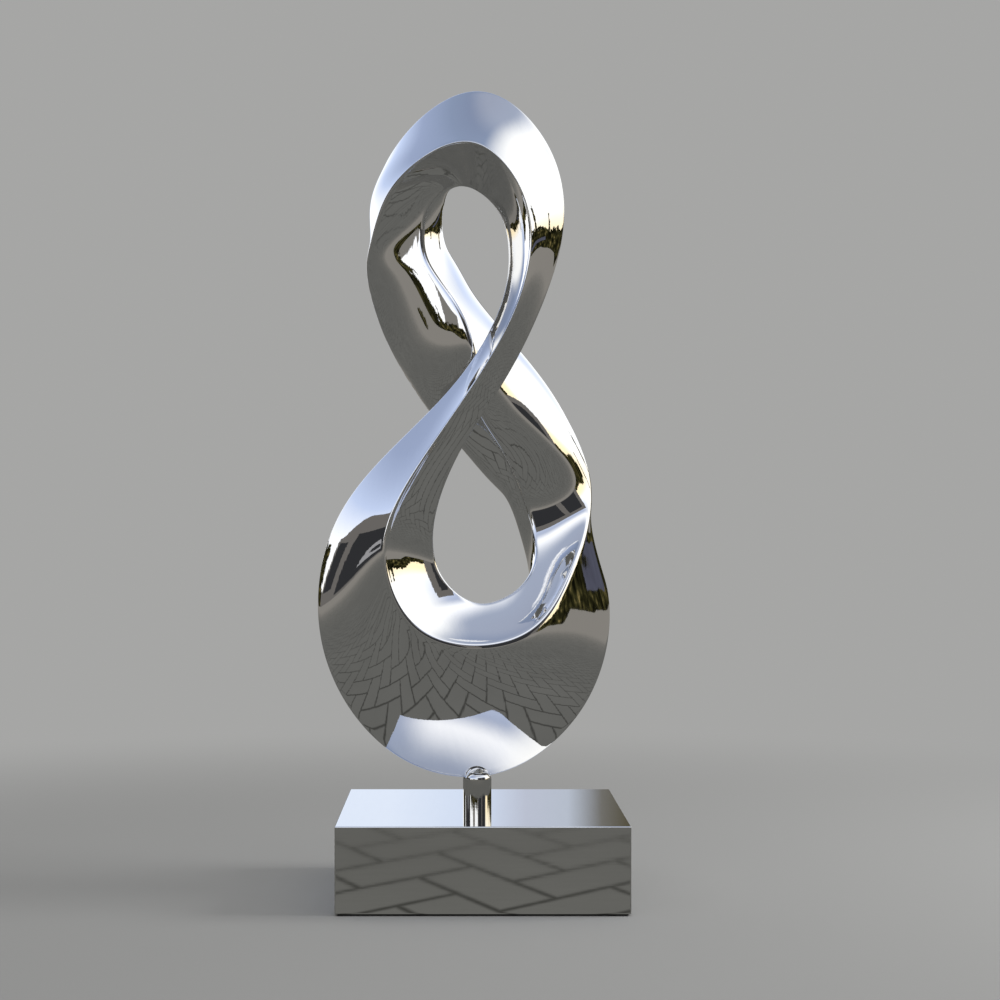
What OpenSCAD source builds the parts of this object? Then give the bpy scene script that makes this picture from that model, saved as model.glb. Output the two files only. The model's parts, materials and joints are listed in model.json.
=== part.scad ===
// Mirror-polished knot sculpture on a block base.
// The knot is a band of three sheets with a triangular section, closed on itself as a figure of
// eight. It stands on a short round stem, and one tie rod clamps knot, stem and base together.
// Millimetres. +X right, +Y back, +Z up, the origin in the middle of the underside.

/* [Knot] */
// Width of the knot, from its left ridge to its right ridge
knot_w = 231; // [190:1:280]
// Height of the knot, from its foot to its top
knot_h = 538; // [450:1:640]
// Depth that the front and back places of the ridges are measured in
knot_d = 150; // [125:1:180]
// How far the middle of the knot lies to the right of the middle of the base
knot_x = -13.6; // [-25:0.1:25]
// Thickness of the formed sheets
sheet_t = 2; // [1.5:0.1:2.5]
// How far the rounding of a ridge reaches into each face
ridge_round = 1.6; // [1:0.1:3]

/* [Ribs] */
// Thickness of the ribs inside the band
rib_t = 4; // [3:0.5:6]
// Diameter of the vent hole in each rib
rib_vent_d = 8; // [5:0.5:10]

/* [Stem] */
// Outer diameter of the stem
stem_d = 22; // [20:0.5:26]
// Length of the stem that shows between the base and the foot of the knot
stem_show = 20; // [14:1:40]
// How far the stem's top stands above the foot of the knot
stem_lap = 5.3; // [3:0.1:7]
// Radius of the stem's rounded top edge
stem_round = 5; // [2:0.1:5.4]

/* [Tie rod] */
// Diameter of the tie rod
rod_d = 10; // [8:0.5:10.5]
// How far the rod reaches into the foot block, above the foot of the knot
rod_reach = 46; // [40:1:50]
// Height of the foot block's top above the foot of the knot
block_h = 52; // [51:1:60]
// Height of the nut
nut_h = 8; // [6:0.5:10]
// Width of the nut across its flats
nut_w = 16; // [15:0.5:18]
// Outer diameter of the washer
washer_d = 24; // [21:1:30]
// Thickness of the washer
washer_t = 2.5; // [1.5:0.5:4]
// Width of the square spreader plate under the top of the base
spreader_w = 90; // [60:1:110]
// Thickness of the spreader plate
spreader_t = 5; // [3:0.5:8]

/* [Base] */
// Width of the base
base_w = 215; // [190:1:260]
// Depth of the base
base_d = 215; // [190:1:260]
// Height of the base, with its pad
base_h = 65; // [60:1:90]
// Thickness of the base's plates
plate_t = 3; // [2:0.5:4]
// Bevel along the upper edges of the base
bevel = 0.6; // [0.3:0.1:1]
// Side of the square corner posts
post_w = 14; // [12:1:18]

/* [Ballast] */
// Width of the ballast slab
slab_w = 150; // [120:1:156]
// Thickness of the ballast slab
slab_t = 24; // [16:1:26]
// Distance between the slab's screws, along each side
slab_pitch = 110; // [90:1:120]
// Diameter of the hole through the slab, below the tie rod
slab_hole_d = 30; // [20:1:40]

/* [Screws and pad] */
// Diameter of the countersunk screws
screw_d = 5; // [4:0.5:6]
// Length of the countersunk screws
screw_l = 16; // [12:1:20]
// Diameter of the screw heads
head_d = 10; // [9:0.5:12]
// Height of the screw heads
head_h = 2.5; // [1.5:0.1:2.8]
// Thickness of the non-slip pad
pad_t = 1.5; // [1:0.5:4]
// How far the pad stays back from the edge of the base
pad_inset = 2; // [1:0.5:10]

/* [Fits] */
// Clearance between parts that fit each other
fit = 0.2; // [0.1:0.05:0.3]
// Clearance between the foot of the knot and the stem's notch
notch_fit = 0.4; // [0.3:0.1:0.8]
// How far a cut runs past the surface it opens
overrun = 1; // [0.5:0.5:2]

/* [Fineness] */
// Cross-sections between two stations of the band
rings_per_station = 4; // [2:2:6]
// Steps across each face of the band
face_steps = 8; // [4:1:12]

/* [Hidden] */
$fn = 64;

polished = "gainsboro";
inner_steel = "darkgray";
iron = "dimgray";
zinc = "silver";
rubber = "darkslategray";

// The ridges of the band. The band's section is a triangle, so three ridges run along it, and as
// it turns by a third for each lap they are one closed curve of three laps. Each row is a station
// of the band, counted from the top of the knot down the right, through the front strand to the
// belly and up the back strand. It holds the places of the section's three corners, each as shares
// of the knot's width, from its middle to the right, of its height, from its foot up, and of its
// depth, from its middle plane to the front.
ridge_shares = [
    // top of the upper loop and its right shoulder
    [[ 0.040, 0.905,  0.340], [ 0.050, 1.008, -0.030], [ 0.030, 0.855, -0.030]],
    [[ 0.170, 0.850,  0.365], [ 0.285, 0.920,  0.050], [ 0.115, 0.820,  0.020]],
    [[ 0.220, 0.770,  0.365], [ 0.340, 0.800,  0.060], [ 0.145, 0.765,  0.040]],
    // front strand, down to the left
    [[ 0.175, 0.680,  0.310], [ 0.255, 0.675,  0.135], [ 0.125, 0.690,  0.105]],
    [[ 0.065, 0.590,  0.340], [ 0.135, 0.570,  0.195], [ 0.025, 0.605,  0.185]],
    [[-0.065, 0.505,  0.350], [ 0.005, 0.485,  0.195], [-0.120, 0.530,  0.170]],
    [[-0.200, 0.415,  0.360], [-0.080, 0.400,  0.165], [-0.330, 0.440,  0.105]],
    // left flank and belly of the lower loop
    [[-0.260, 0.330,  0.360], [-0.095, 0.330,  0.115], [-0.470, 0.335,  0.010]],
    [[-0.190, 0.240,  0.340], [-0.045, 0.285,  0.085], [-0.475, 0.180,  0.055]],
    [[-0.040, 0.205,  0.300], [ 0.040, 0.260,  0.060], [-0.245, 0.040,  0.125]],
    [[ 0.135, 0.205,  0.205], [ 0.120, 0.265,  0.010], [ 0.120, 0.005, -0.005]],
    // right flank, where the band turns edge on
    [[ 0.280, 0.240,  0.060], [ 0.195, 0.285, -0.075], [ 0.428, 0.105, -0.205]],
    [[ 0.380, 0.320, -0.115], [ 0.245, 0.325, -0.175], [ 0.515, 0.248, -0.450]],
    [[ 0.440, 0.390, -0.340], [ 0.220, 0.385, -0.250], [ 0.420, 0.345, -0.640]],
    // back strand, up to the left
    [[ 0.440, 0.460, -0.440], [ 0.155, 0.465, -0.175], [ 0.140, 0.415, -0.590]],
    [[ 0.320, 0.565, -0.440], [ 0.065, 0.525, -0.040], [ 0.005, 0.490, -0.475]],
    [[ 0.175, 0.645, -0.430], [ 0.045, 0.600,  0.100], [-0.140, 0.555, -0.340]],
    [[ 0.025, 0.720, -0.370], [-0.010, 0.680,  0.105], [-0.275, 0.645, -0.220]],
    // left shoulder of the upper loop
    [[-0.050, 0.782, -0.425], [-0.130, 0.750,  0.045], [-0.330, 0.730, -0.060]],
    [[-0.185, 0.808, -0.430], [-0.135, 0.805,  0.035], [-0.315, 0.772, -0.005]],
    [[-0.308, 0.845, -0.325], [-0.090, 0.840,  0.055], [-0.252, 0.843,  0.105]],
    [[-0.212, 0.943, -0.210], [-0.035, 0.855,  0.020], [-0.115, 0.893,  0.255]],
];
// How far each face swells, or is hollow where it is negative, as shares of its width: station by
// station, the face after the first corner, the face after the second and the face after the third
swell_shares = [
    [-0.06,  0.22, -0.05],
    [-0.08,  0.22, -0.10],
    [-0.10,  0.20, -0.10],
    [-0.10,  0.18, -0.10],
    [-0.10,  0.16, -0.08],
    [-0.10,  0.16, -0.05],
    [-0.10,  0.18,  0.02],
    [-0.10,  0.20,  0.07],
    [-0.08,  0.22,  0.10],
    [-0.08,  0.24,  0.10],
    [-0.08,  0.30,  0.09],
    [-0.08,  0.46,  0.07],
    [-0.08,  0.64,  0.02],
    [ 0.05,  0.54,  0.09],
    [ 0.30,  0.10,  0.20],
    [ 0.25,  0.25,  0.20],
    [ 0.10,  0.40,  0.18],
    [ 0.05,  0.20,  0.18],
    [ 0.08,  0.00,  0.20],
    [ 0.45, -0.06,  0.22],
    [ 0.62, -0.06,  0.20],
    [ 0.45, -0.06,  0.02],
];
stations = len(ridge_shares);

// Share of a face that the rounding of a ridge takes, beside its own reach
round_share = 0.02;

// Stations of the welded joints, where the ribs back the sheets
joint_stations = [-2.5, 1.5, 5.5, 8.5, 11.5, 14.5];
crown_joint = joint_stations[0];
right_joint = joint_stations[1];
front_joint = joint_stations[2];
left_joint = joint_stations[3];
belly_joint = joint_stations[4];
flank_joint = joint_stations[5];
strand_joint = crown_joint + stations;
// Stations of the foot: where the foot block starts, where the stem stands, where the block ends
foot_stations = [9.55, 9.8, 10.05];
foot_station = foot_stations[1];

knot_z = base_h + stem_show;
floor_z = pad_t;
cover_z = floor_z + plate_t;
top_z = base_h - plate_t;
side_h = top_z - floor_z;
post_h = top_z - cover_z;
inner_w = base_w - 2*plate_t;
inner_d = base_d - 2*plate_t;
post_x = inner_w/2 - post_w/2;
post_y = inner_d/2 - post_w/2;

// A place given as shares of the knot's width, height and depth
function place(share) = [knot_x + share[0]*knot_w, -share[2]*knot_d, knot_z + share[1]*knot_h];

// One list of the places of the ridges, and one of the swells, lap after lap, as each face too goes
// on as the next one
laps = [for (k = [0:2]) for (row = ridge_shares) place(row[k])];
swells = [for (k = [0:2]) for (row = swell_shares) row[k]];
function around(list, i) = list[(i + 2*len(list)) % len(list)];

// Controls of the closed curve that runs through the ridges' places
ridge_controls = [
    for (i = [0:len(laps) - 1]) (8*laps[i] - around(laps, i - 1) - around(laps, i + 1))/6
];

// Value at t stations on the smooth cubic spline that the controls shape
function spline(list, t) =
    let (i = floor(t), u = t - i)
    (around(list, i - 1)*pow(1 - u, 3)
        + around(list, i)*(3*pow(u, 3) - 6*pow(u, 2) + 4)
        + around(list, i + 1)*(-3*pow(u, 3) + 3*pow(u, 2) + 3*u + 1)
        + around(list, i + 2)*pow(u, 3))/6;

function ridge(t) = spline(ridge_controls, t);

function unit(v) = v/norm(v);

function bezier(c, u) =
    c[0]*pow(1 - u, 3) + c[1]*3*u*pow(1 - u, 2) + c[2]*3*pow(u, 2)*(1 - u) + c[3]*pow(u, 3);

// Corners of the section at station t
function corners(t) = [for (k = [0:2]) ridge(t + k*stations)];

// Direction of travel, square to the section
function travel(v) = unit(cross(v[1] - v[0], v[2] - v[0]));

// Controls of the curve across face k of the section
function face_curve(t, k) =
    let (
        v = corners(t),
        a = v[k % 3],
        b = v[(k + 1) % 3],
        span = b - a,
        side = unit(cross(travel(v), span)),
        out = side*sign((a - v[(k + 2) % 3])*side),
        push = out*norm(span)*spline(swells, t + (k % 3)*stations)
    )
    [a, a + span/3 + push, b - span/3 + push, b];

// Where the corner between face k and the face before it lies when both move inwards by inset
function inner_corner(t, k, inset) =
    let (
        c = face_curve(t, k),
        d = face_curve(t, k + 2),
        p = unit(c[1] - c[0]),
        q = unit(d[2] - d[3])
    )
    c[0] + (p + q)*inset/norm(cross(p, q));

// The curve of face k moved inwards by inset, between its mitred corners
function inner_curve(t, k, inset) =
    let (
        c = face_curve(t, k),
        a = inner_corner(t, k, inset),
        b = inner_corner(t, k + 1, inset),
        s = norm(b - a)/norm(c[3] - c[0])
    )
    [a, a + (c[1] - c[0])*s, b + (c[2] - c[3])*s, b];

// Share of a face at which the rounding of its ridges ends
function round_end(c) = round_share + ridge_round/norm(c[3] - c[0]);

// Half of the rounding at the ridge between two faces, from its crest into face c
function crest(c, before, s) =
    let (
        p = bezier(before, 1 - round_end(before)),
        q = bezier(c, round_end(c))
    )
    p*pow(1 - s, 2) + c[0]*2*s*(1 - s) + q*pow(s, 2);

// One cross-section of a sheet: its outer points from crest to crest, then its inner points
function sheet_section(t, k) =
    let (
        c = face_curve(t, k),
        before = face_curve(t, k + 2),
        after = face_curve(t, k + 1),
        e = round_end(c),
        inner = inner_curve(t, k, sheet_t)
    )
    [
        concat(
            [for (s = [0.5, 0.75]) crest(c, before, s)],
            [for (i = [0:face_steps]) bezier(c, e + (1 - 2*e)*i/face_steps)],
            [for (s = [0.25, 0.5]) crest(after, c, s)]
        ),
        [for (i = [0:face_steps]) bezier(inner, i/face_steps)]
    ];

// Triangles between the outer and the inner points of a sheet's end, facing against the travel
function end_faces(o, q) =
    [
        for (i = [0:len(o) - 2])
            [o[i], q[min(max(i - 2, 0), len(q) - 1)], o[i + 1]],
        for (j = [0:len(q) - 2])
            [q[j], q[j + 1], o[j + 3]]
    ];

function turned(faces) = [for (f = faces) [f[0], f[2], f[1]]];

// One formed sheet: face k of the band between two stations, mitred along both ridges
module sheet(first, last, k) {
    steps = round((last - first)*rings_per_station);
    sections = [for (i = [0:steps]) sheet_section(first + i/rings_per_station, k)];
    outer_n = len(sections[0][0]);
    inner_n = len(sections[0][1]);
    ring_n = outer_n + inner_n;
    function o(r, i) = r*ring_n + i;
    function q(r, i) = r*ring_n + outer_n + i;
    function outer_row(r) = [for (i = [0:outer_n - 1]) o(r, i)];
    function inner_row(r) = [for (i = [0:inner_n - 1]) q(r, i)];
    faces = [
        for (r = [0:steps - 1]) each [
            for (i = [0:outer_n - 2]) each [
                [o(r, i), o(r, i + 1), o(r + 1, i + 1)],
                [o(r, i), o(r + 1, i + 1), o(r + 1, i)]
            ],
            for (i = [0:inner_n - 2]) each [
                [q(r, i), q(r + 1, i + 1), q(r, i + 1)],
                [q(r, i), q(r + 1, i), q(r + 1, i + 1)]
            ],
            [q(r, 0), o(r, 0), q(r + 1, 0)],
            [o(r, 0), o(r + 1, 0), q(r + 1, 0)],
            [q(r, inner_n - 1), q(r + 1, inner_n - 1), o(r, outer_n - 1)],
            [o(r, outer_n - 1), q(r + 1, inner_n - 1), o(r + 1, outer_n - 1)]
        ],
        each end_faces(outer_row(0), inner_row(0)),
        each turned(end_faces(outer_row(steps), inner_row(steps)))
    ];
    polyhedron(points = [for (s = sections) each concat(s[0], s[1])], faces = faces, convexity = 6);
}

// The space inside the sheets between two stations, drawn back from them by inset
module core(first, last, inset, steps) {
    n = 3*face_steps;
    stops = [for (i = [0:steps]) first + (last - first)*i/steps];
    rings = [
        for (t = stops)
            [for (k = [0:2]) for (i = [0:face_steps - 1]) bezier(inner_curve(t, k, inset), i/face_steps)]
    ];
    middles = [for (t = [first, last]) let (v = corners(t)) (v[0] + v[1] + v[2])/3];
    function at(r, i) = r*n + i % n;
    start = (steps + 1)*n;
    finish = start + 1;
    faces = [
        for (r = [0:steps - 1]) for (i = [0:n - 1]) each [
            [at(r, i), at(r, i + 1), at(r + 1, i + 1)],
            [at(r, i), at(r + 1, i + 1), at(r + 1, i)]
        ],
        for (i = [0:n - 1]) [start, at(0, i + 1), at(0, i)],
        for (i = [0:n - 1]) [finish, at(steps, i), at(steps, i + 1)]
    ];
    polyhedron(points = concat([for (r = rings) each r], middles), faces = faces, convexity = 4);
}

// Places a shape that stands on +Z at the middle of the section, pointing along the band
module along_band(t) {
    v = corners(t);
    z = travel(v);
    x = unit(v[1] - v[0]);
    y = cross(z, x);
    m = (v[0] + v[1] + v[2])/3;
    multmatrix([
        [x[0], y[0], z[0], m[0]],
        [x[1], y[1], z[1], m[1]],
        [x[2], y[2], z[2], m[2]],
        [0, 0, 0, 1]
    ])
        children();
}

// A rib that backs the welds of a joint: it fills the section but for a vent hole
module rib(t) {
    reach = rib_t/2/norm(middle_of(t + 0.5) - middle_of(t - 0.5));
    color(inner_steel)
    difference() {
        core(t - reach, t + reach, sheet_t + fit, 2);
        along_band(t) cylinder(d = rib_vent_d, h = rib_t*4, center = true);
    }
}
function middle_of(t) = let (v = corners(t)) (v[0] + v[1] + v[2])/3;

// The knot's foot: the lowest ridge, where the stem stands
foot = ridge(foot_station + 2*stations);
rod_x = foot[0];
rod_y = foot[1];
rod_top = foot[2] + rod_reach;
spreader_z = top_z - spreader_t;
washer_z = spreader_z - washer_t;
nut_z = washer_z - nut_h;
rod_bottom = nut_z - rod_d/3;

// Hole for the tie rod, open at both ends
module rod_hole(from, to) {
    translate([rod_x, rod_y, from - overrun])
        cylinder(d = rod_d + 2*fit, h = to - from + 2*overrun);
}

// Sheets of the knot
module crown_top_sheet() { color(polished) sheet(crown_joint, right_joint, 0); }
module crown_back_sheet() { color(polished) sheet(crown_joint, right_joint, 1); }
module crown_under_sheet() { color(polished) sheet(crown_joint, right_joint, 2); }

module front_strand_right_sheet() { color(polished) sheet(right_joint, front_joint, 0); }
module front_strand_back_sheet() { color(polished) sheet(right_joint, front_joint, 1); }
module front_strand_left_sheet() { color(polished) sheet(right_joint, front_joint, 2); }

module left_flank_inner_sheet() { color(polished) sheet(front_joint, left_joint, 0); }
module left_flank_back_sheet() { color(polished) sheet(front_joint, left_joint, 1); }
module left_flank_outer_sheet() { color(polished) sheet(front_joint, left_joint, 2); }

module belly_upper_sheet() { color(polished) sheet(left_joint, belly_joint, 0); }

module belly_back_sheet() {
    color(polished)
    difference() {
        sheet(left_joint, belly_joint, 1);
        rod_hole(knot_z, rod_top);
    }
}

module belly_front_sheet() {
    color(polished)
    difference() {
        sheet(left_joint, belly_joint, 2);
        rod_hole(knot_z, rod_top);
    }
}

module right_flank_inner_sheet() { color(polished) sheet(belly_joint, flank_joint, 0); }
module right_flank_left_sheet() { color(polished) sheet(belly_joint, flank_joint, 1); }
module right_flank_outer_sheet() { color(polished) sheet(belly_joint, flank_joint, 2); }

module back_strand_right_sheet() { color(polished) sheet(flank_joint, strand_joint, 0); }
module back_strand_left_sheet() { color(polished) sheet(flank_joint, strand_joint, 1); }
module back_strand_back_sheet() { color(polished) sheet(flank_joint, strand_joint, 2); }

// Ribs
module upper_right_rib() { rib(right_joint); }
module front_strand_rib() { rib(front_joint); }
module lower_left_rib() { rib(left_joint); }
module belly_rib() { rib(belly_joint); }
module lower_right_rib() { rib(flank_joint); }
module upper_left_rib() { rib(strand_joint); }

// Solid block in the keel of the belly, tapped for the tie rod
module foot_block() {
    color(inner_steel)
    difference() {
        intersection() {
            core(foot_stations[0], foot_stations[2], sheet_t + fit, 4);
            translate([rod_x - knot_w/2, rod_y - knot_d, foot[2]])
                cube([knot_w, 2*knot_d, block_h]);
        }
        translate([rod_x, rod_y, foot[2] - overrun])
            cylinder(d = rod_d + 2*fit, h = rod_reach + fit + overrun);
    }
}

// Tie rod from the foot block down through stem, plate, spreader and nut, its ends chamfered
module tie_rod() {
    tip = rod_d/10;
    color(zinc)
    translate([rod_x, rod_y, 0])
        rotate_extrude()
            polygon([
                [0, rod_bottom], [rod_d/2 - tip, rod_bottom], [rod_d/2, rod_bottom + tip],
                [rod_d/2, rod_top - tip], [rod_d/2 - tip, rod_top], [0, rod_top]
            ]);
}

// Round stem with a rounded top, notched to the ridge that it carries
module stem() {
    c = face_curve(foot_station, 2);
    d = face_curve(foot_station, 1);
    p = unit(c[1] - c[0]);
    q = unit(d[2] - d[3]);
    reach = 2*stem_d;
    low = foot[2] - notch_fit;
    top = foot[2] + stem_lap;
    edge = stem_d/2 - stem_round;
    color(polished)
    difference() {
        translate([rod_x, rod_y, base_h])
            rotate_extrude()
                union() {
                    square([edge, top - base_h]);
                    square([stem_d/2, top - base_h - stem_round]);
                    intersection() {
                        translate([edge, top - base_h - stem_round]) circle(r = stem_round);
                        translate([edge, top - base_h - stem_round]) square(stem_round);
                    }
                }
        rod_hole(base_h, top);
        translate([rod_x + stem_d, 0, 0])
            rotate([90, 0, -90])
                linear_extrude(2*stem_d)
                    polygon([
                        [-rod_y + notch_fit, low],
                        [-rod_y + notch_fit - reach*p[1], low + reach*p[2]],
                        [-rod_y - notch_fit - reach*q[1], low + reach*q[2]],
                        [-rod_y - notch_fit, low]
                    ]);
    }
}

// Square plate that spreads the rod's pull under the top of the base
module spreader_plate() {
    color(inner_steel)
    difference() {
        translate([rod_x - spreader_w/2, rod_y - spreader_w/2, spreader_z])
            cube([spreader_w, spreader_w, spreader_t]);
        rod_hole(spreader_z, top_z);
    }
}

module washer() {
    color(zinc)
    difference() {
        translate([rod_x, rod_y, washer_z]) cylinder(d = washer_d, h = washer_t);
        rod_hole(washer_z, spreader_z);
    }
}

module nut() {
    color(zinc)
    difference() {
        translate([rod_x, rod_y, nut_z])
            cylinder(d = nut_w/cos(30), h = nut_h, $fn = 6);
        rod_hole(nut_z, washer_z);
    }
}

// Top plate of the base, bevelled along its four upper edges
module base_top_plate() {
    color(polished)
    difference() {
        translate([-base_w/2, -base_d/2, top_z]) cube([base_w, base_d, plate_t]);
        for (turn = [0, 1], end = [-1, 1])
            rotate(turn*90)
                edge_bevel(end*(turn == 0 ? base_d : base_w)/2, turn == 0 ? base_w : base_d);
        rod_hole(top_z, base_h);
    }
}

// Cutter for one upper edge: a square bar turned on its corner
module edge_bevel(y, length) {
    translate([0, y, base_h])
        rotate([45, 0, 0])
            cube([length + 2*overrun, bevel*sqrt(2), bevel*sqrt(2)], center = true);
}

module side_plate(w, d, x, y) {
    color(polished)
    translate([x - w/2, y - d/2, floor_z]) cube([w, d, side_h]);
}

module base_front_plate() { side_plate(base_w, plate_t, 0, plate_t/2 - base_d/2); }
module base_back_plate() { side_plate(base_w, plate_t, 0, base_d/2 - plate_t/2); }
module base_left_plate() { side_plate(plate_t, inner_d, plate_t/2 - base_w/2, 0); }
module base_right_plate() { side_plate(plate_t, inner_d, base_w/2 - plate_t/2, 0); }

// Places of the cover's screws, in the middle of each post, and of the ballast's screws
cover_places = [for (x = [-1, 1], y = [-1, 1]) [x*(post_x - fit), y*(post_y - fit)]];
slab_places = [for (x = [-1, 1], y = [-1, 1]) [x, y]*slab_pitch/2];

// Countersunk hole through the cover
module countersink(at) {
    translate([at[0], at[1], floor_z]) {
        translate([0, 0, -overrun]) cylinder(d = screw_d + 2*fit, h = plate_t + 2*overrun);
        cylinder(d1 = head_d + 2*fit, d2 = screw_d + 2*fit, h = head_h);
        translate([0, 0, -overrun]) cylinder(d = head_d + 2*fit, h = overrun);
    }
}

// Cover under the base, screwed to the posts
module base_bottom_plate() {
    w = inner_w - 2*fit;
    d = inner_d - 2*fit;
    color(inner_steel)
    difference() {
        translate([-w/2, -d/2, floor_z]) cube([w, d, plate_t]);
        for (at = concat(cover_places, slab_places)) countersink(at);
    }
}

// Square post in a corner of the base, tapped from below
module post(x, y) {
    at = [x*(post_x - fit), y*(post_y - fit)];
    color(inner_steel)
    difference() {
        translate([at[0] - post_w/2, at[1] - post_w/2, cover_z]) cube([post_w, post_w, post_h]);
        translate([at[0], at[1], cover_z - overrun])
            cylinder(d = screw_d + 2*fit, h = screw_l - plate_t + 2*overrun);
    }
}

module post_front_left() { post(-1, -1); }
module post_front_right() { post(1, -1); }
module post_back_left() { post(-1, 1); }
module post_back_right() { post(1, 1); }

// Countersunk screw, its head flush with the cover, with a hexagon socket
module screw(at) {
    translate([at[0], at[1], floor_z])
        difference() {
            rotate_extrude()
                polygon([
                    [0, 0], [head_d/2, 0], [screw_d/2, head_h],
                    [screw_d/2, screw_l], [0, screw_l]
                ]);
            translate([0, 0, -overrun])
                cylinder(d = head_d/3/cos(30), h = overrun + head_h*0.6, $fn = 6);
        }
}

module cover_screws() { color(zinc) for (at = cover_places) screw(at); }
module ballast_screws() { color(zinc) for (at = slab_places) screw(at); }

// Heavy slab on the cover that keeps the sculpture from tipping
module ballast_slab() {
    color(iron)
    difference() {
        translate([-slab_w/2, -slab_w/2, cover_z]) cube([slab_w, slab_w, slab_t]);
        translate([rod_x, rod_y, cover_z - overrun])
            cylinder(d = slab_hole_d, h = slab_t + 2*overrun);
        for (at = slab_places)
            translate([at[0], at[1], cover_z - overrun])
                cylinder(d = screw_d + 2*fit, h = screw_l - plate_t + 2*overrun);
    }
}

// Thin rubber sheet that the base rests on
module non_slip_pad() {
    w = base_w - 2*pad_inset;
    d = base_d - 2*pad_inset;
    color(rubber)
    translate([-w/2, -d/2, 0]) cube([w, d, pad_t]);
}

crown_top_sheet();
crown_back_sheet();
crown_under_sheet();
front_strand_right_sheet();
front_strand_back_sheet();
front_strand_left_sheet();
left_flank_inner_sheet();
left_flank_back_sheet();
left_flank_outer_sheet();
belly_upper_sheet();
belly_back_sheet();
belly_front_sheet();
right_flank_inner_sheet();
right_flank_left_sheet();
right_flank_outer_sheet();
back_strand_right_sheet();
back_strand_left_sheet();
back_strand_back_sheet();
upper_right_rib();
front_strand_rib();
lower_left_rib();
belly_rib();
lower_right_rib();
upper_left_rib();
foot_block();
tie_rod();
stem();
spreader_plate();
washer();
nut();
base_top_plate();
base_front_plate();
base_back_plate();
base_left_plate();
base_right_plate();
base_bottom_plate();
post_front_left();
post_front_right();
post_back_left();
post_back_right();
cover_screws();
ballast_slab();
ballast_screws();
non_slip_pad();
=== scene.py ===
# Mirror-polished knot sculpture on its block base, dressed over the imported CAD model.
# Metres, in the model's own frame: +X right, +Y away from the viewer, +Z up.
import json
import math

import bpy
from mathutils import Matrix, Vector


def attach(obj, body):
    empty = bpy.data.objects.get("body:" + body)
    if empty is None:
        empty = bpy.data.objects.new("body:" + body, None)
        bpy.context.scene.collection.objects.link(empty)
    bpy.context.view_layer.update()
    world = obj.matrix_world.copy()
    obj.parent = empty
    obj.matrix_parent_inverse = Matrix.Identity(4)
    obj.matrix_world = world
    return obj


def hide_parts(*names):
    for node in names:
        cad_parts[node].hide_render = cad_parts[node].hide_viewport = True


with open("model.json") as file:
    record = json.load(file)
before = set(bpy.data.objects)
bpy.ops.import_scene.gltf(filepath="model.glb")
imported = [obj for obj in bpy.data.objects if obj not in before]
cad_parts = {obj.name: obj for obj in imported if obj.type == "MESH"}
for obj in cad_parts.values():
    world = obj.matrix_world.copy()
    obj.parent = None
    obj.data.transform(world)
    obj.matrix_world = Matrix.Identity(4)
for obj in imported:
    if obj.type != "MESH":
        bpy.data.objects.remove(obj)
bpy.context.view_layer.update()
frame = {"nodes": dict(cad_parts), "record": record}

# Camera: level, a little above the sculpture's waist, 1.56 m in front of it. The view is shifted
# so that the sculpture stands a little left of the middle, as in the photograph.
focal_pixels = 2003.7
picture_pixels = 1000
camera_data = bpy.data.cameras.new("camera")
camera_data.sensor_width = 36
camera_data.lens = camera_data.sensor_width * focal_pixels / picture_pixels
camera_data.shift_x = 0.0415
camera_data.shift_y = 0.036
camera_data.clip_end = 100
camera = bpy.data.objects.new("camera", camera_data)
camera.location = (-0.0177, -1.558, 0.2754)
camera.rotation_euler = (math.radians(90), 0, 0)
bpy.context.scene.collection.objects.link(camera)
bpy.context.scene.camera = camera
bpy.context.scene.view_settings.view_transform = "Standard"


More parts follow.
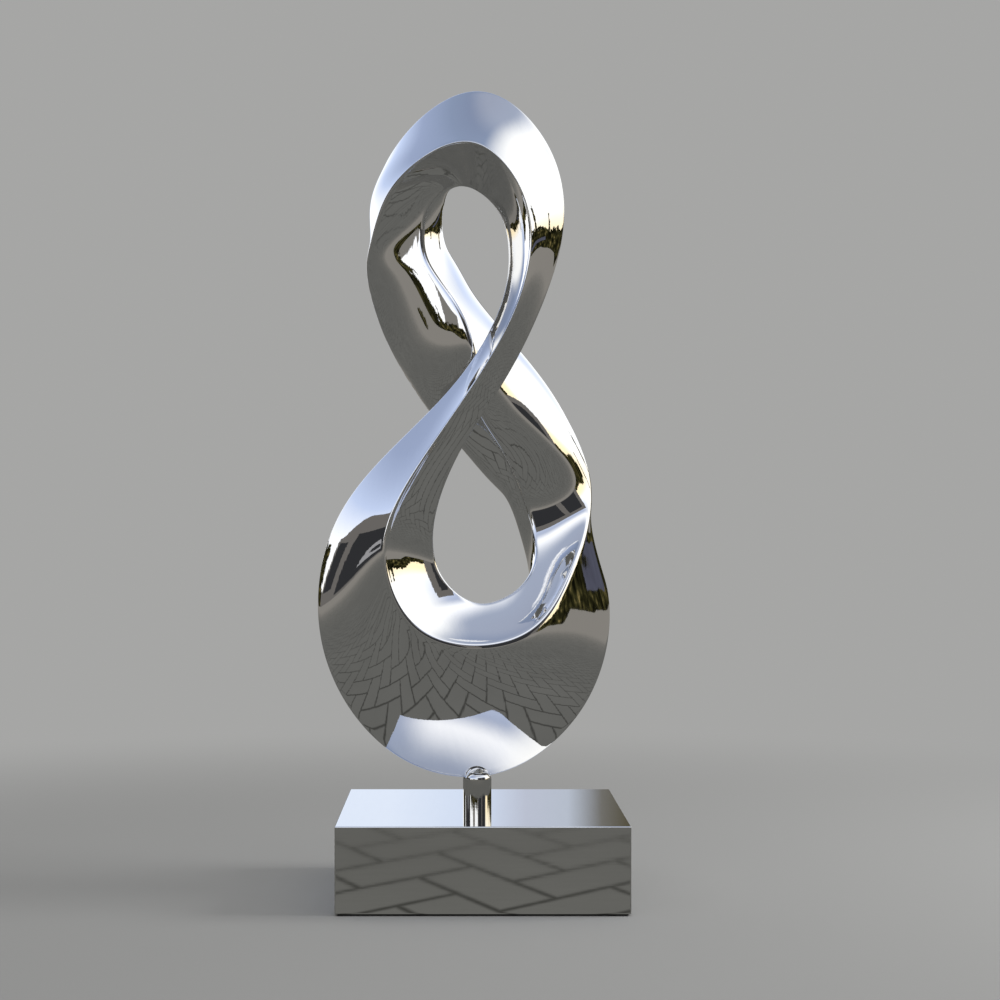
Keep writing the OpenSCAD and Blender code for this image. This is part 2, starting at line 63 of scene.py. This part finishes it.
# Knot: one hollow band of 2 mm stainless sheet with a triangular section, closed on itself as a
# figure of eight. Its sheets are welded along the three ridges, ground flush and mirror-polished,
# so that no joint shows, and the ridges are left just rounded.
knot_width = 0.231
knot_height = 0.538
knot_depth = 0.150
knot_middle = -0.0136
knot_foot = 0.085
ridge_round = 0.0016
round_share = 0.02
ridge_shares = (
    # top of the upper loop and its right shoulder
    ((0.040, 0.905, 0.340), (0.050, 1.008, -0.030), (0.030, 0.855, -0.030)),
    ((0.170, 0.850, 0.365), (0.285, 0.920, 0.050), (0.115, 0.820, 0.020)),
    ((0.220, 0.770, 0.365), (0.340, 0.800, 0.060), (0.145, 0.765, 0.040)),
    # front strand, down to the left
    ((0.175, 0.680, 0.310), (0.255, 0.675, 0.135), (0.125, 0.690, 0.105)),
    ((0.065, 0.590, 0.340), (0.135, 0.570, 0.195), (0.025, 0.605, 0.185)),
    ((-0.065, 0.505, 0.350), (0.005, 0.485, 0.195), (-0.120, 0.530, 0.170)),
    ((-0.200, 0.415, 0.360), (-0.080, 0.400, 0.165), (-0.330, 0.440, 0.105)),
    # left flank and belly of the lower loop
    ((-0.260, 0.330, 0.360), (-0.095, 0.330, 0.115), (-0.470, 0.335, 0.010)),
    ((-0.190, 0.240, 0.340), (-0.045, 0.285, 0.085), (-0.475, 0.180, 0.055)),
    ((-0.040, 0.205, 0.300), (0.040, 0.260, 0.060), (-0.245, 0.040, 0.125)),
    ((0.135, 0.205, 0.205), (0.120, 0.265, 0.010), (0.120, 0.005, -0.005)),
    # right flank, where the band turns edge on
    ((0.280, 0.240, 0.060), (0.195, 0.285, -0.075), (0.428, 0.105, -0.205)),
    ((0.380, 0.320, -0.115), (0.245, 0.325, -0.175), (0.515, 0.248, -0.450)),
    ((0.440, 0.390, -0.340), (0.220, 0.385, -0.250), (0.420, 0.345, -0.640)),
    # back strand, up to the left
    ((0.440, 0.460, -0.440), (0.155, 0.465, -0.175), (0.140, 0.415, -0.590)),
    ((0.320, 0.565, -0.440), (0.065, 0.525, -0.040), (0.005, 0.490, -0.475)),
    ((0.175, 0.645, -0.430), (0.045, 0.600, 0.100), (-0.140, 0.555, -0.340)),
    ((0.025, 0.720, -0.370), (-0.010, 0.680, 0.105), (-0.275, 0.645, -0.220)),
    # left shoulder of the upper loop
    ((-0.050, 0.782, -0.425), (-0.130, 0.750, 0.045), (-0.330, 0.730, -0.060)),
    ((-0.185, 0.808, -0.430), (-0.135, 0.805, 0.035), (-0.315, 0.772, -0.005)),
    ((-0.308, 0.845, -0.325), (-0.090, 0.840, 0.055), (-0.252, 0.843, 0.105)),
    ((-0.212, 0.943, -0.210), (-0.035, 0.855, 0.020), (-0.115, 0.893, 0.255)),
)
swell_shares = (
    (-0.06, 0.22, -0.05),
    (-0.08, 0.22, -0.10),
    (-0.10, 0.20, -0.10),
    (-0.10, 0.18, -0.10),
    (-0.10, 0.16, -0.08),
    (-0.10, 0.16, -0.05),
    (-0.10, 0.18, 0.02),
    (-0.10, 0.20, 0.07),
    (-0.08, 0.22, 0.10),
    (-0.08, 0.24, 0.10),
    (-0.08, 0.30, 0.09),
    (-0.08, 0.46, 0.07),
    (-0.08, 0.64, 0.02),
    (0.05, 0.54, 0.09),
    (0.30, 0.10, 0.20),
    (0.25, 0.25, 0.20),
    (0.10, 0.40, 0.18),
    (0.05, 0.20, 0.18),
    (0.08, 0.00, 0.20),
    (0.45, -0.06, 0.22),
    (0.62, -0.06, 0.20),
    (0.45, -0.06, 0.02),
)
stations = len(ridge_shares)


def place(share):
    across, up, forward = share
    return Vector(
        (
            knot_middle + across * knot_width,
            -forward * knot_depth,
            knot_foot + up * knot_height,
        )
    )


# The three ridges are one closed curve of three laps, because the section turns by a third of a
# turn for each lap of the band. It is a smooth cubic spline through the places of the table.
laps = [place(row[corner]) for corner in range(3) for row in ridge_shares]
swells = [row[face] for face in range(3) for row in swell_shares]
ridge_controls = [
    (8 * laps[i] - laps[i - 1] - laps[(i + 1) % len(laps)]) / 6 for i in range(len(laps))
]


def spline(values, t):
    i = math.floor(t)
    u = t - i
    n = len(values)
    return (
        values[(i - 1) % n] * (1 - u) ** 3
        + values[i % n] * (3 * u**3 - 6 * u**2 + 4)
        + values[(i + 1) % n] * (-3 * u**3 + 3 * u**2 + 3 * u + 1)
        + values[(i + 2) % n] * u**3
    ) / 6


def bezier(c, u):
    v = 1 - u
    return c[0] * v**3 + c[1] * (3 * u * v**2) + c[2] * (3 * u**2 * v) + c[3] * u**3


def face_curve(t, face):
    """Controls of the curve across one of the three faces, at station t of the band."""
    corners = [spline(ridge_controls, t + k * stations) for k in range(3)]
    start, end, third = (corners[(face + k) % 3] for k in range(3))
    span = end - start
    travel = (corners[1] - corners[0]).cross(corners[2] - corners[0])
    side = travel.cross(span).normalized()
    outward = side if (start - third).dot(side) > 0 else -side
    push = outward * span.length * spline(swells, t + (face % 3) * stations)
    return [start, start + span / 3 + push, end - span / 3 + push, end]


rings_per_station = 24
face_steps = 24
ridge_steps = 6
rings = stations * rings_per_station
face_points = face_steps + ridge_steps
ring_points = 3 * face_points
skin_points = []
for ring in range(rings):
    curves = [face_curve(ring / rings_per_station, face) for face in range(3)]
    ends = [round_share + ridge_round / (c[3] - c[0]).length for c in curves]
    for face in range(3):
        curve, after = curves[face], curves[(face + 1) % 3]
        end, next_end = ends[face], ends[(face + 1) % 3]
        for i in range(face_steps + 1):
            skin_points.append(bezier(curve, end + (1 - 2 * end) * i / face_steps))
        last, first = skin_points[-1], bezier(after, next_end)
        for i in range(1, ridge_steps):
            s = i / ridge_steps
            skin_points.append(
                last * (1 - s) ** 2 + curve[3] * (2 * s * (1 - s)) + first * s**2
            )
skin_faces = []
for ring in range(rings):
    here = ring * ring_points
    there = (ring + 1) % rings * ring_points
    # after one lap each face goes on as the next one
    turn = face_points if ring == rings - 1 else 0
    for i in range(ring_points):
        j = (i + 1) % ring_points
        skin_faces.append(
            (
                here + i,
                here + j,
                there + (j + turn) % ring_points,
                there + (i + turn) % ring_points,
            )
        )
knot_mesh = bpy.data.meshes.new("knot_skin")
knot_mesh.from_pydata(skin_points, [], skin_faces)
knot = bpy.data.objects.new("knot_skin", knot_mesh)
bpy.context.scene.collection.objects.link(knot)


def choose(piece):
    """Selects one piece alone and makes it the active one."""
    bpy.ops.object.select_all(action="DESELECT")
    piece.select_set(True)
    bpy.context.view_layer.objects.active = piece


def turn_outwards(piece):
    """Merges doubled points and turns all faces outwards, then shades them smooth."""
    choose(piece)
    bpy.ops.object.mode_set(mode="EDIT")
    bpy.ops.mesh.select_all(action="SELECT")
    bpy.ops.mesh.remove_doubles(threshold=1e-7)
    bpy.ops.mesh.normals_make_consistent(inside=False)
    bpy.ops.object.mode_set(mode="OBJECT")
    bpy.ops.object.shade_smooth()


turn_outwards(knot)
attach(knot, "root")
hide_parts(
    "crown_top_sheet",
    "crown_back_sheet",
    "crown_under_sheet",
    "front_strand_right_sheet",
    "front_strand_back_sheet",
    "front_strand_left_sheet",
    "left_flank_inner_sheet",
    "left_flank_back_sheet",
    "left_flank_outer_sheet",
    "belly_upper_sheet",
    "belly_back_sheet",
    "belly_front_sheet",
    "right_flank_inner_sheet",
    "right_flank_left_sheet",
    "right_flank_outer_sheet",
    "back_strand_right_sheet",
    "back_strand_left_sheet",
    "back_strand_back_sheet",
)


class Wire:
    """A socket of a node tree: sums on it add Math nodes, and node() adds any other node."""

    def __init__(self, tree, socket=None):
        self.tree = tree
        self.socket = socket

    def node(self, kind, settings, values, out=0):
        made = self.tree.nodes.new(kind)
        for name, value in settings.items():
            if name == "stops":
                ramp = made.color_ramp.elements
                while len(ramp) < len(value):
                    ramp.new(0.5)
                for stop, (position, colour) in zip(ramp, value):
                    stop.position = position
                    stop.color = (*colour, 1)
            else:
                setattr(made, name, value)
        for name, value in values.items():
            if isinstance(value, Wire):
                self.tree.links.new(value.socket, made.inputs[name])
            else:
                made.inputs[name].default_value = value
        return Wire(self.tree, made.outputs[out])

    def math(self, operation, *values):
        values = dict(enumerate(values))
        return self.node("ShaderNodeMath", {"operation": operation}, values)

    def __add__(self, other):
        return self.math("ADD", self, other)

    def __radd__(self, other):
        return self.math("ADD", other, self)

    def __sub__(self, other):
        return self.math("SUBTRACT", self, other)

    def __rsub__(self, other):
        return self.math("SUBTRACT", other, self)

    def __mul__(self, other):
        return self.math("MULTIPLY", self, other)

    def __rmul__(self, other):
        return self.math("MULTIPLY", other, self)

    def __truediv__(self, other):
        return self.math("DIVIDE", self, other)

    def __gt__(self, other):
        return self.math("GREATER_THAN", self, other)

    def __lt__(self, other):
        return self.math("LESS_THAN", self, other)

    def rise(self, low, high):
        """0 at low and 1 at high, smoothly between them."""
        return self.node(
            "ShaderNodeMapRange",
            {"interpolation_type": "SMOOTHSTEP"},
            {"Value": self, "From Min": low, "From Max": high},
        )

    def blend(self, first, second):
        """The first colour where this is 0, the second where it is 1."""
        return self.node(
            "ShaderNodeMix",
            {"data_type": "RGBA"},
            {"Factor": self, 6: first, 7: second},
            out=2,
        )

    def parts(self):
        """The three numbers of this vector."""
        outputs = self.node("ShaderNodeSeparateXYZ", {}, {0: self}).socket.node.outputs
        return [Wire(self.tree, outputs[place]) for place in range(3)]

    def stretch(self, *size):
        return self.node("ShaderNodeMapping", {}, {"Vector": self, "Scale": size})

    def noise(self, scale, detail=2.0):
        values = {"Vector": self, "Scale": scale, "Detail": detail}
        return self.node("ShaderNodeTexNoise", {}, values)

    def bump(self, strength, depth):
        values = {"Height": self, "Strength": strength, "Distance": depth}
        return self.node("ShaderNodeBump", {}, values)


def new_material(name):
    """An empty material, and the wire of the piece's own coordinates in it."""
    material = bpy.data.materials.new(name)
    material.use_nodes = True
    material.node_tree.nodes.clear()
    return material, Wire(material.node_tree).node("ShaderNodeTexCoord", {}, {}, "Object")


def end_in(surface, kind="ShaderNodeOutputMaterial"):
    output = surface.tree.nodes.new(kind)
    surface.tree.links.new(surface.socket, output.inputs["Surface"])


def metal(name, dark, light, smooth, rough, grain, ripple):
    """A metal whose colour, polish and surface vary a little over the piece.

    grain is the wire of the pattern, made by a function of the coordinates, and ripple the
    strength and depth of its relief."""
    material, at = new_material(name)
    pattern = grain(at)
    values = {
        "Base Color": pattern.blend((*dark, 1), (*light, 1)),
        "Metallic": 1.0,
        "Roughness": smooth + (rough - smooth) * pattern,
        "Normal": pattern.bump(*ripple),
    }
    end_in(at.node("ShaderNodeBsdfPrincipled", {}, values))
    return material


# Mirror polish of the knot: long faint waves that the belt grinder left, and finer haze.
mirror_polish = metal(
    "mirror_polish",
    (0.80, 0.80, 0.81),
    (0.84, 0.84, 0.84),
    0.012,
    0.035,
    lambda at: at.noise(9, 1.0) * 0.7 + at.stretch(60, 60, 9).noise(3, 4.0) * 0.3,
    (0.05, 0.002),
)
knot.data.materials.append(mirror_polish)


# Stem: a short post of 22 mm round bar, drilled for the tie rod. Its top edge is rounded and
# notched to the ridge of the belly that stands in it.
stem_radius = 0.011
stem_hole = 0.0052
stem_bottom = 0.065
stem_lap = 0.0053
shoulder = 0.005
shoulder_steps = 8
notch_fit = 0.0004
foot_station = 9.8
foot = spline(ridge_controls, foot_station + 2 * stations)
stem_top = foot.z + stem_lap
profile = [(stem_hole, stem_bottom), (stem_radius, stem_bottom)]
for step in range(shoulder_steps + 1):
    turn = math.radians(90) * step / shoulder_steps
    profile.append(
        (
            stem_radius - shoulder * (1 - math.cos(turn)),
            stem_top - shoulder * (1 - math.sin(turn)),
        )
    )
profile.append((stem_hole, stem_top))
stem_mesh = bpy.data.meshes.new("stem_post")
stem_mesh.from_pydata(
    [(foot.x + r, foot.y, z) for r, z in profile],
    [(i, (i + 1) % len(profile)) for i in range(len(profile))],
    [],
)
stem = bpy.data.objects.new("stem_post", stem_mesh)
bpy.context.scene.collection.objects.link(stem)
choose(stem)
bpy.ops.object.mode_set(mode="EDIT")
bpy.ops.mesh.select_all(action="SELECT")
bpy.ops.mesh.spin(
    steps=128, angle=math.radians(360), center=(foot.x, foot.y, 0), axis=(0, 0, 1)
)
bpy.ops.object.mode_set(mode="OBJECT")
turn_outwards(stem)

# cutter of the notch: a wedge along X between the two faces that meet at the foot
wall_a = (face_curve(foot_station, 2)[1] - face_curve(foot_station, 2)[0]).normalized()
wall_b = (face_curve(foot_station, 1)[2] - face_curve(foot_station, 1)[3]).normalized()
reach = 4 * stem_radius
low = foot.z - notch_fit
wedge = [
    (foot.y - notch_fit, low),
    (foot.y - notch_fit + reach * wall_a.y, low + reach * wall_a.z),
    (foot.y + notch_fit + reach * wall_b.y, low + reach * wall_b.z),
    (foot.y + notch_fit, low),
]
wedge_mesh = bpy.data.meshes.new("notch")
wedge_mesh.from_pydata(
    [(foot.x + end * 2 * stem_radius, y, z) for end in (-1, 1) for y, z in wedge],
    [],
    [(0, 1, 2, 3), (7, 6, 5, 4), (0, 4, 5, 1), (1, 5, 6, 2), (2, 6, 7, 3), (3, 7, 4, 0)],
)
notch = bpy.data.objects.new("notch", wedge_mesh)
bpy.context.scene.collection.objects.link(notch)
turn_outwards(notch)


def cut(piece, cutter):
    """Takes the cutter's shape out of the piece, and removes the cutter."""
    choose(piece)
    boolean = piece.modifiers.new("cut", "BOOLEAN")
    boolean.operation = "DIFFERENCE"
    boolean.object = cutter
    bpy.ops.object.modifier_apply(modifier=boolean.name)
    bpy.data.objects.remove(cutter)


cut(stem, notch)
choose(stem)
bpy.ops.object.shade_smooth_by_angle(angle=math.radians(35))
stem.data.materials.append(
    metal(
        "stem_polish",
        (0.74, 0.74, 0.74),
        (0.80, 0.80, 0.79),
        0.02,
        0.06,
        lambda at: at.stretch(40, 40, 900).noise(2, 3.0),
        (0.02, 0.0005),
    )
)
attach(stem, "root")
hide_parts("stem")


# Base: a hollow block of 3 mm plate, welded and ground flush, its upper edges and corners just
# broken. The top is mirror-polished like the knot, the sides have a softer buffed gloss.
base_half = 0.1075
base_top = 0.065
base_bottom = 0.0015
plate = 0.003
arris = 0.0008
hollow_height = 0.1
rod_hole_depth = 0.02
bpy.ops.object.select_all(action="DESELECT")
bpy.ops.mesh.primitive_cube_add(size=1, location=(0, 0, (base_top + base_bottom) / 2))
base = bpy.context.object
base.name = "base_block"
base.scale = (2 * base_half, 2 * base_half, base_top - base_bottom)
bpy.ops.object.transform_apply(location=True, rotation=True, scale=True)
for edge in base.data.edges:
    ends = [base.data.vertices[v].co for v in edge.vertices]
    edge.select = not all(end.z < base_top / 2 for end in ends)
bpy.ops.object.mode_set(mode="EDIT")
bpy.ops.mesh.select_mode(type="EDGE")
bpy.ops.mesh.bevel(offset=arris, segments=4, affect="EDGES")
bpy.ops.object.mode_set(mode="OBJECT")
bpy.ops.object.select_all(action="DESELECT")
bpy.ops.mesh.primitive_cube_add(size=1, location=(0, 0, base_top - plate - hollow_height / 2))
hollow = bpy.context.object
hollow.scale = (2 * (base_half - plate), 2 * (base_half - plate), hollow_height)
bpy.ops.object.transform_apply(location=True, rotation=True, scale=True)
cut(base, hollow)
bpy.ops.object.select_all(action="DESELECT")
bpy.ops.mesh.primitive_cylinder_add(
    vertices=64, radius=stem_hole, depth=rod_hole_depth, location=(foot.x, foot.y, base_top)
)
bpy.ops.object.transform_apply(location=True, rotation=True, scale=True)
cut(base, bpy.context.object)
choose(base)
bpy.ops.object.shade_smooth_by_angle(angle=math.radians(40))
even_out = base.modifiers.new("flat_faces", "WEIGHTED_NORMAL")
even_out.weight = 100
even_out.keep_sharp = True
bpy.ops.object.modifier_apply(modifier=even_out.name)
base.data.materials.append(
    metal(
        "base_top_polish",
        (0.84, 0.84, 0.85),
        (0.88, 0.88, 0.88),
        0.03,
        0.05,
        lambda at: at.stretch(60, 6, 60).noise(3, 4.0),
        (0.01, 0.0005),
    )
)
base.data.materials.append(
    metal(
        "base_side_gloss",
        (0.80, 0.795, 0.785),
        (0.86, 0.855, 0.845),
        0.046,
        0.062,
        lambda at: at.stretch(14, 14, 200).noise(3, 4.0),
        (0.01, 0.0005),
    )
)
for face in base.data.polygons:
    face.material_index = int(face.normal.z < 0.9)
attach(base, "root")
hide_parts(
    "base_top_plate",
    "base_front_plate",
    "base_back_plate",
    "base_left_plate",
    "base_right_plate",
)


# Inner pieces, hidden in the band and the base: they keep their CAD shapes. Ribs, blocks, posts
# and cover are rolled or milled stainless, the fasteners are zinc-plated, the ballast is cast
# iron with a sandy skin, and the pad under the base is ribless black rubber sheet.
inner_finishes = {
    "inner_steel": metal(
        "mill_finish",
        (0.42, 0.42, 0.43),
        (0.58, 0.58, 0.58),
        0.28,
        0.42,
        lambda at: at.stretch(30, 900, 900).noise(2, 3.0),
        (0.15, 0.0003),
    ),
    "zinc_steel": metal(
        "zinc_plate",
        (0.58, 0.60, 0.63),
        (0.74, 0.74, 0.70),
        0.22,
        0.40,
        lambda at: at.noise(300, 3.0),
        (0.10, 0.0002),
    ),
    "ballast_iron": metal(
        "sand_cast_iron",
        (0.10, 0.10, 0.105),
        (0.22, 0.21, 0.20),
        0.55,
        0.80,
        lambda at: at.noise(900, 5.0),
        (0.6, 0.0006),
    ),
}
rubber, at = new_material("pad_rubber")
specks = at.noise(1400, 4.0)
rubber_values = {
    "Base Color": specks.blend((0.030, 0.030, 0.031, 1), (0.055, 0.054, 0.052, 1)),
    "Roughness": 0.70 + 0.18 * specks,
    "Normal": specks.bump(0.4, 0.0003),
}
end_in(at.node("ShaderNodeBsdfPrincipled", {}, rubber_values))
inner_finishes["pad_rubber"] = rubber
inner_finishes["polished_steel"] = mirror_polish
for subpart in frame["record"]["subparts"]:
    node = frame["nodes"][subpart["node"]]
    for place_on in node.material_slots:
        place_on.material = inner_finishes[subpart["material_slot"]]


# Studio floor: a pale grey sheet that takes the soft shadow. Away from the sculpture it runs out
# into the even grey of the backdrop, a shell all round.
studio_grey = (0.382, 0.382, 0.376, 1)
floor_side = 60
shell_radius = 25
bpy.ops.object.select_all(action="DESELECT")
bpy.ops.mesh.primitive_plane_add(size=floor_side)
floor = bpy.context.object
floor.name = "floor"
floor_paint, at = new_material("floor_grey")
across, back, up = at.parts()
distance = up.math("SQRT", across * across + back * back)
shaded = at.node("ShaderNodeBsdfDiffuse", {}, {"Color": studio_grey})
even = at.node("ShaderNodeEmission", {}, {"Color": studio_grey})
end_in(at.node("ShaderNodeMixShader", {}, {0: distance.rise(0.45, 1.3), 1: shaded, 2: even}))
floor.data.materials.append(floor_paint)
bpy.ops.mesh.primitive_uv_sphere_add(segments=48, ring_count=24, radius=shell_radius)
backdrop = bpy.context.object
backdrop.name = "backdrop"
backdrop_paint, at = new_material("backdrop_grey")
end_in(at.node("ShaderNodeEmission", {}, {"Color": studio_grey}))
backdrop.data.materials.append(backdrop_paint)
for stage in (floor, backdrop):
    stage.visible_glossy = False
    stage.visible_transmission = False
    stage.visible_shadow = False
backdrop.visible_diffuse = False


# Surroundings that the mirror faces show, as in the photograph: a courtyard of dark herringbone
# paving, with a low tree line, two buildings with dark windows, and a hazy blue sky. The paving
# is a sheet at floor level that only shows in the metal.
brick = 0.0545
paving_level = -0.0005
pattern_shift = 0.002
back_share = 0.6
bpy.ops.object.select_all(action="DESELECT")
bpy.ops.mesh.primitive_plane_add(size=floor_side, location=(0, 0, paving_level))
paving = bpy.context.object
paving.name = "paving"
bpy.ops.object.transform_apply(location=True)
paving_stone, at = new_material("paving_stone")
across, back, up = at.parts()
slant = math.radians(55)
deep = back * back_share
along = (across * math.cos(slant) + deep * math.sin(slant) + pattern_shift) / brick
aside = (deep * math.cos(slant) - across * math.sin(slant)) / brick
column = along.math("FLOOR", along)
row = aside.math("FLOOR", aside)
in_column = along - column
in_row = aside - row
part = row.math("FLOORED_MODULO", column - row + 1, 4)
# parts 0 and 1 are the halves of a stone laid one way, 3 and 2 of a stone laid the other way
gaps = [
    in_column + 9 * part.math("COMPARE", part, 1, 0.5),
    1 - in_column + 9 * part.math("COMPARE", part, 0, 0.5),
    in_row + 9 * part.math("COMPARE", part, 2, 0.5),
    1 - in_row + 9 * part.math("COMPARE", part, 3, 0.5),
]
nearest = gaps[0]
for gap in gaps[1:]:
    nearest = nearest.math("MINIMUM", nearest, gap)
away = up.math("SQRT", across * across + back * back)
# the joints are softer close to the base, and fade out far away
blur = 0.05 * (1 - away.rise(0.2, 0.5))
joint = 1 - nearest.rise(0.015 - 0.3 * blur, 0.055 + blur)
joint = joint * (1 - away.rise(3.0, 12.0))
worn = at.noise(3, 4.0)
near_stone = worn.blend((0.120, 0.120, 0.112, 1), (0.165, 0.165, 0.154, 1))
ground_grey = (0.27, 0.255, 0.23, 1)
stone = away.rise(1.0, 9.0).blend(near_stone, ground_grey)
paving_colour = joint.blend(stone, (0.055, 0.055, 0.050, 1))
end_in(at.node("ShaderNodeEmission", {}, {"Color": paving_colour}))
paving.data.materials.append(paving_stone)
paving.visible_camera = False
paving.visible_diffuse = False
paving.visible_shadow = False

world = bpy.data.worlds.new("courtyard")
bpy.context.scene.world = world
world.use_nodes = True
world.node_tree.nodes.clear()
world.cycles_visibility.diffuse = False
towards = Wire(world.node_tree).node("ShaderNodeTexCoord", {}, {}, "Generated")
right, away, up = towards.parts()
# bearing: 0 behind the camera, positive to its right; height: above the horizon; both in degrees
bearing = right.math("ARCTAN2", right, 0 - away) * (180 / math.pi)
height = up.math("ARCSINE", up) * (180 / math.pi)


def between(low, high):
    """1 where the bearing lies between the two, otherwise 0."""
    return (bearing > low) * (bearing < high)


def fading(start, full, thin, end):
    """Rises with the bearing from 0 at start to 1 at full, and falls from thin to 0 at end."""
    return bearing.rise(start, full) * (1 - bearing.rise(thin, end))


# sky: white haze along the horizon, blue above it, the wide glare around a low sun and a bright
# cloud
sky = height.node(
    "ShaderNodeValToRGB",
    {
        "stops": (
            (0.00, (1.30, 1.28, 1.22)),
            (0.14, (1.28, 1.30, 1.34)),
            (0.20, (0.98, 1.06, 1.24)),
            (0.27, (0.66, 0.78, 1.06)),
            (0.42, (0.38, 0.46, 0.67)),
            (0.62, (0.29, 0.36, 0.52)),
            (0.95, (0.25, 0.30, 0.44)),
        )
    },
    {0: height / 90},
)


def nearness(spot):
    """How near a direction is to a spot in the sky: the cosine of the angle between them."""
    values = {0: towards, 1: spot}
    return towards.node("ShaderNodeVectorMath", {"operation": "DOT_PRODUCT"}, values, out=1)


to_sun = nearness(Vector((0.852, 0.310, 0.423)))
to_cloud = nearness(Vector((0.272, -0.583, 0.766)))
cloud = height.rise(36, 46) * (1 - height.rise(44, 66))
cloud = cloud * fading(-40, 10, 100, 130)
cloud_white = (1.30, 1.32, 1.36, 1)
sky = (0.14 * to_cloud.rise(0.50, 0.78)).blend(sky, cloud_white)
sky = cloud.blend(sky, cloud_white)
sky = to_sun.rise(0.71, 0.97).blend(sky, (1.40, 1.40, 1.36, 1))
golden = between(20, 140) * (1 - height.rise(6, 15)) * bearing.rise(20, 45)
sky = golden.blend(sky, (1.45, 1.22, 0.78, 1))

# behind the sculpture the low sky is paler, and browner towards its right end
round_bearing = bearing.math("FLOORED_MODULO", bearing, 360)
low_sky = round_bearing.node(
    "ShaderNodeValToRGB",
    {
        "stops": (
            (0.15, (0.10, 0.09, 0.06)),
            (0.24, (0.17, 0.165, 0.15)),
            (0.36, (0.50, 0.55, 0.64)),
            (0.51, (0.53, 0.57, 0.68)),
            (0.68, (0.68, 0.77, 0.94)),
            (1.00, (0.80, 0.88, 1.02)),
        )
    },
    {0: (round_bearing - 174) / 8},
)
far_side = round_bearing.rise(168, 174) * (1 - round_bearing.rise(188, 200))
far_side = far_side * (1 - height.rise(11, 15))
sky = far_side.blend(sky, low_sky)

# a grey wall in front on the left, and trees: a low line all round, higher on the right, in front
# and behind on the left, with two that stand alone
view_all_round = (between(-34.5, -19) * (height < 12.5)).blend(sky, (0.23, 0.22, 0.20, 1))
leaves = towards.stretch(1, 1, 1.6).noise(26, 6.0)
ragged = bearing + 5 * (leaves - 0.5)
right_grove = fading(78, 96, 168, 174) * (0.85 + 0.15 * bearing.rise(116, 122))
left_grove = fading(-150, -138, -115, -109)
tall_tree = (ragged > 134) * (ragged < 137.5)
small_tree = (ragged > 108.5) * (ragged < 111)
front_grove = fading(-60, -52, 2, 6)
tree_top = (
    1.5
    + 3 * towards.noise(5, 3.0)
    + 5 * (leaves - 0.5)
    + 6 * right_grove
    + 9 * left_grove
    + 8 * tall_tree
    + 5 * small_tree
    + 4.5 * front_grove
)
foliage = towards.node(
    "ShaderNodeValToRGB",
    {
        "stops": (
            (0.36, (0.004, 0.004, 0.002)),
            (0.50, (0.020, 0.019, 0.007)),
            (0.62, (0.065, 0.058, 0.020)),
            (0.74, (0.30, 0.23, 0.09)),
        )
    },
    {0: towards.stretch(1, 1, 3).noise(17, 6.0)},
)
view_all_round = (height < tree_top).blend(view_all_round, foliage)

# among the trees on the right, a lilac gable, and a bank of paler ground at their foot
eaves = 4.45 - 0.9 * bearing.rise(134, 151)
ridge = 5.42 - 1.3 * bearing.rise(137, 154)
gable = between(116.5, 151) * (height > eaves) * (height < ridge)
shade = towards.stretch(1, 1, 6).noise(9, 3.0)
lilac = shade.blend((0.06, 0.062, 0.085, 1), (0.11, 0.115, 0.16, 1))
view_all_round = gable.blend(view_all_round, lilac)
bank = 2.3 * bearing.rise(88, 97) + 0.5 * bearing.rise(118, 126) - 2.4 * bearing.rise(146, 160)
front_bank = 4.5 * fading(-58, -50, -30, -14)
view_all_round = ((height < bank) * between(86, 166)).blend(view_all_round, ground_grey)
view_all_round = (height < front_bank).blend(view_all_round, ground_grey)


def building(behind, left, right, roof, windows):
    """A grey wall with dark windows, in front of what is behind it. A window is given by its left
    and right edges, its sill and its lintel."""
    glass = 0 * height
    for start, end, sill, lintel in windows:
        glass = glass + between(start, end) * (height > sill) * (height < lintel)
    wall = glass.blend((0.165, 0.155, 0.145, 1), (0.033, 0.034, 0.037, 1))
    return (between(left, right) * (height < roof)).blend(behind, wall)


def oval(middle, level, half_width, half_height):
    """Below 1 inside an oval round a bearing and a height, above 1 outside it."""
    aside = (bearing - middle) / half_width
    above = (height - level) / half_height
    return aside * aside + above * above


long_roof = 13.5 + 8.5 * bearing.rise(-108.4, -95)
long_windows = ((-107.2, -100.8, 2.5, 12.5), (-96.5, -61, 0.6, 14.8))
view_all_round = building(view_all_round, -108.4, -60, long_roof, long_windows)
# a pale arch of light in its wide window, with a dark gap
arch = (oval(-80, 1.5, 5.2, 6.5) < 1) * (oval(-79, 4.5, 3.0, 1.1) > 1) * (height > 2.3)
view_all_round = arch.blend(view_all_round, (0.36, 0.36, 0.37, 1))
tall_windows = ((9, 34, 0.6, 26), (40, 64, 0.6, 27))
view_all_round = building(view_all_round, 4, 70, 33, tall_windows)
ground_level = (height < 0).blend(view_all_round, ground_grey)
end_in(
    towards.node("ShaderNodeBackground", {}, {"Color": ground_level}), "ShaderNodeOutputWorld"
)


# Studio lamps: a wide soft box overhead and a smaller one to the right and a little in front,
# whose light leaves the soft shadow on the left. They aren't seen in the metal.
def soft_box(name, side, spot, power):
    lamp_data = bpy.data.lights.new(name, "AREA")
    lamp_data.shape = "SQUARE"
    lamp_data.size = side
    lamp_data.energy = power
    lamp = bpy.data.objects.new(name, lamp_data)
    lamp.location = spot
    lamp.rotation_euler = (-Vector(spot)).to_track_quat("-Z", "Y").to_euler()
    lamp.visible_glossy = False
    lamp.visible_camera = False
    bpy.context.scene.collection.objects.link(lamp)


soft_box("ceiling_box", 6.0, (0, 0, 2.2), 99)
soft_box("right_box", 0.8, (1.6, 0.0, 0.9), 17)
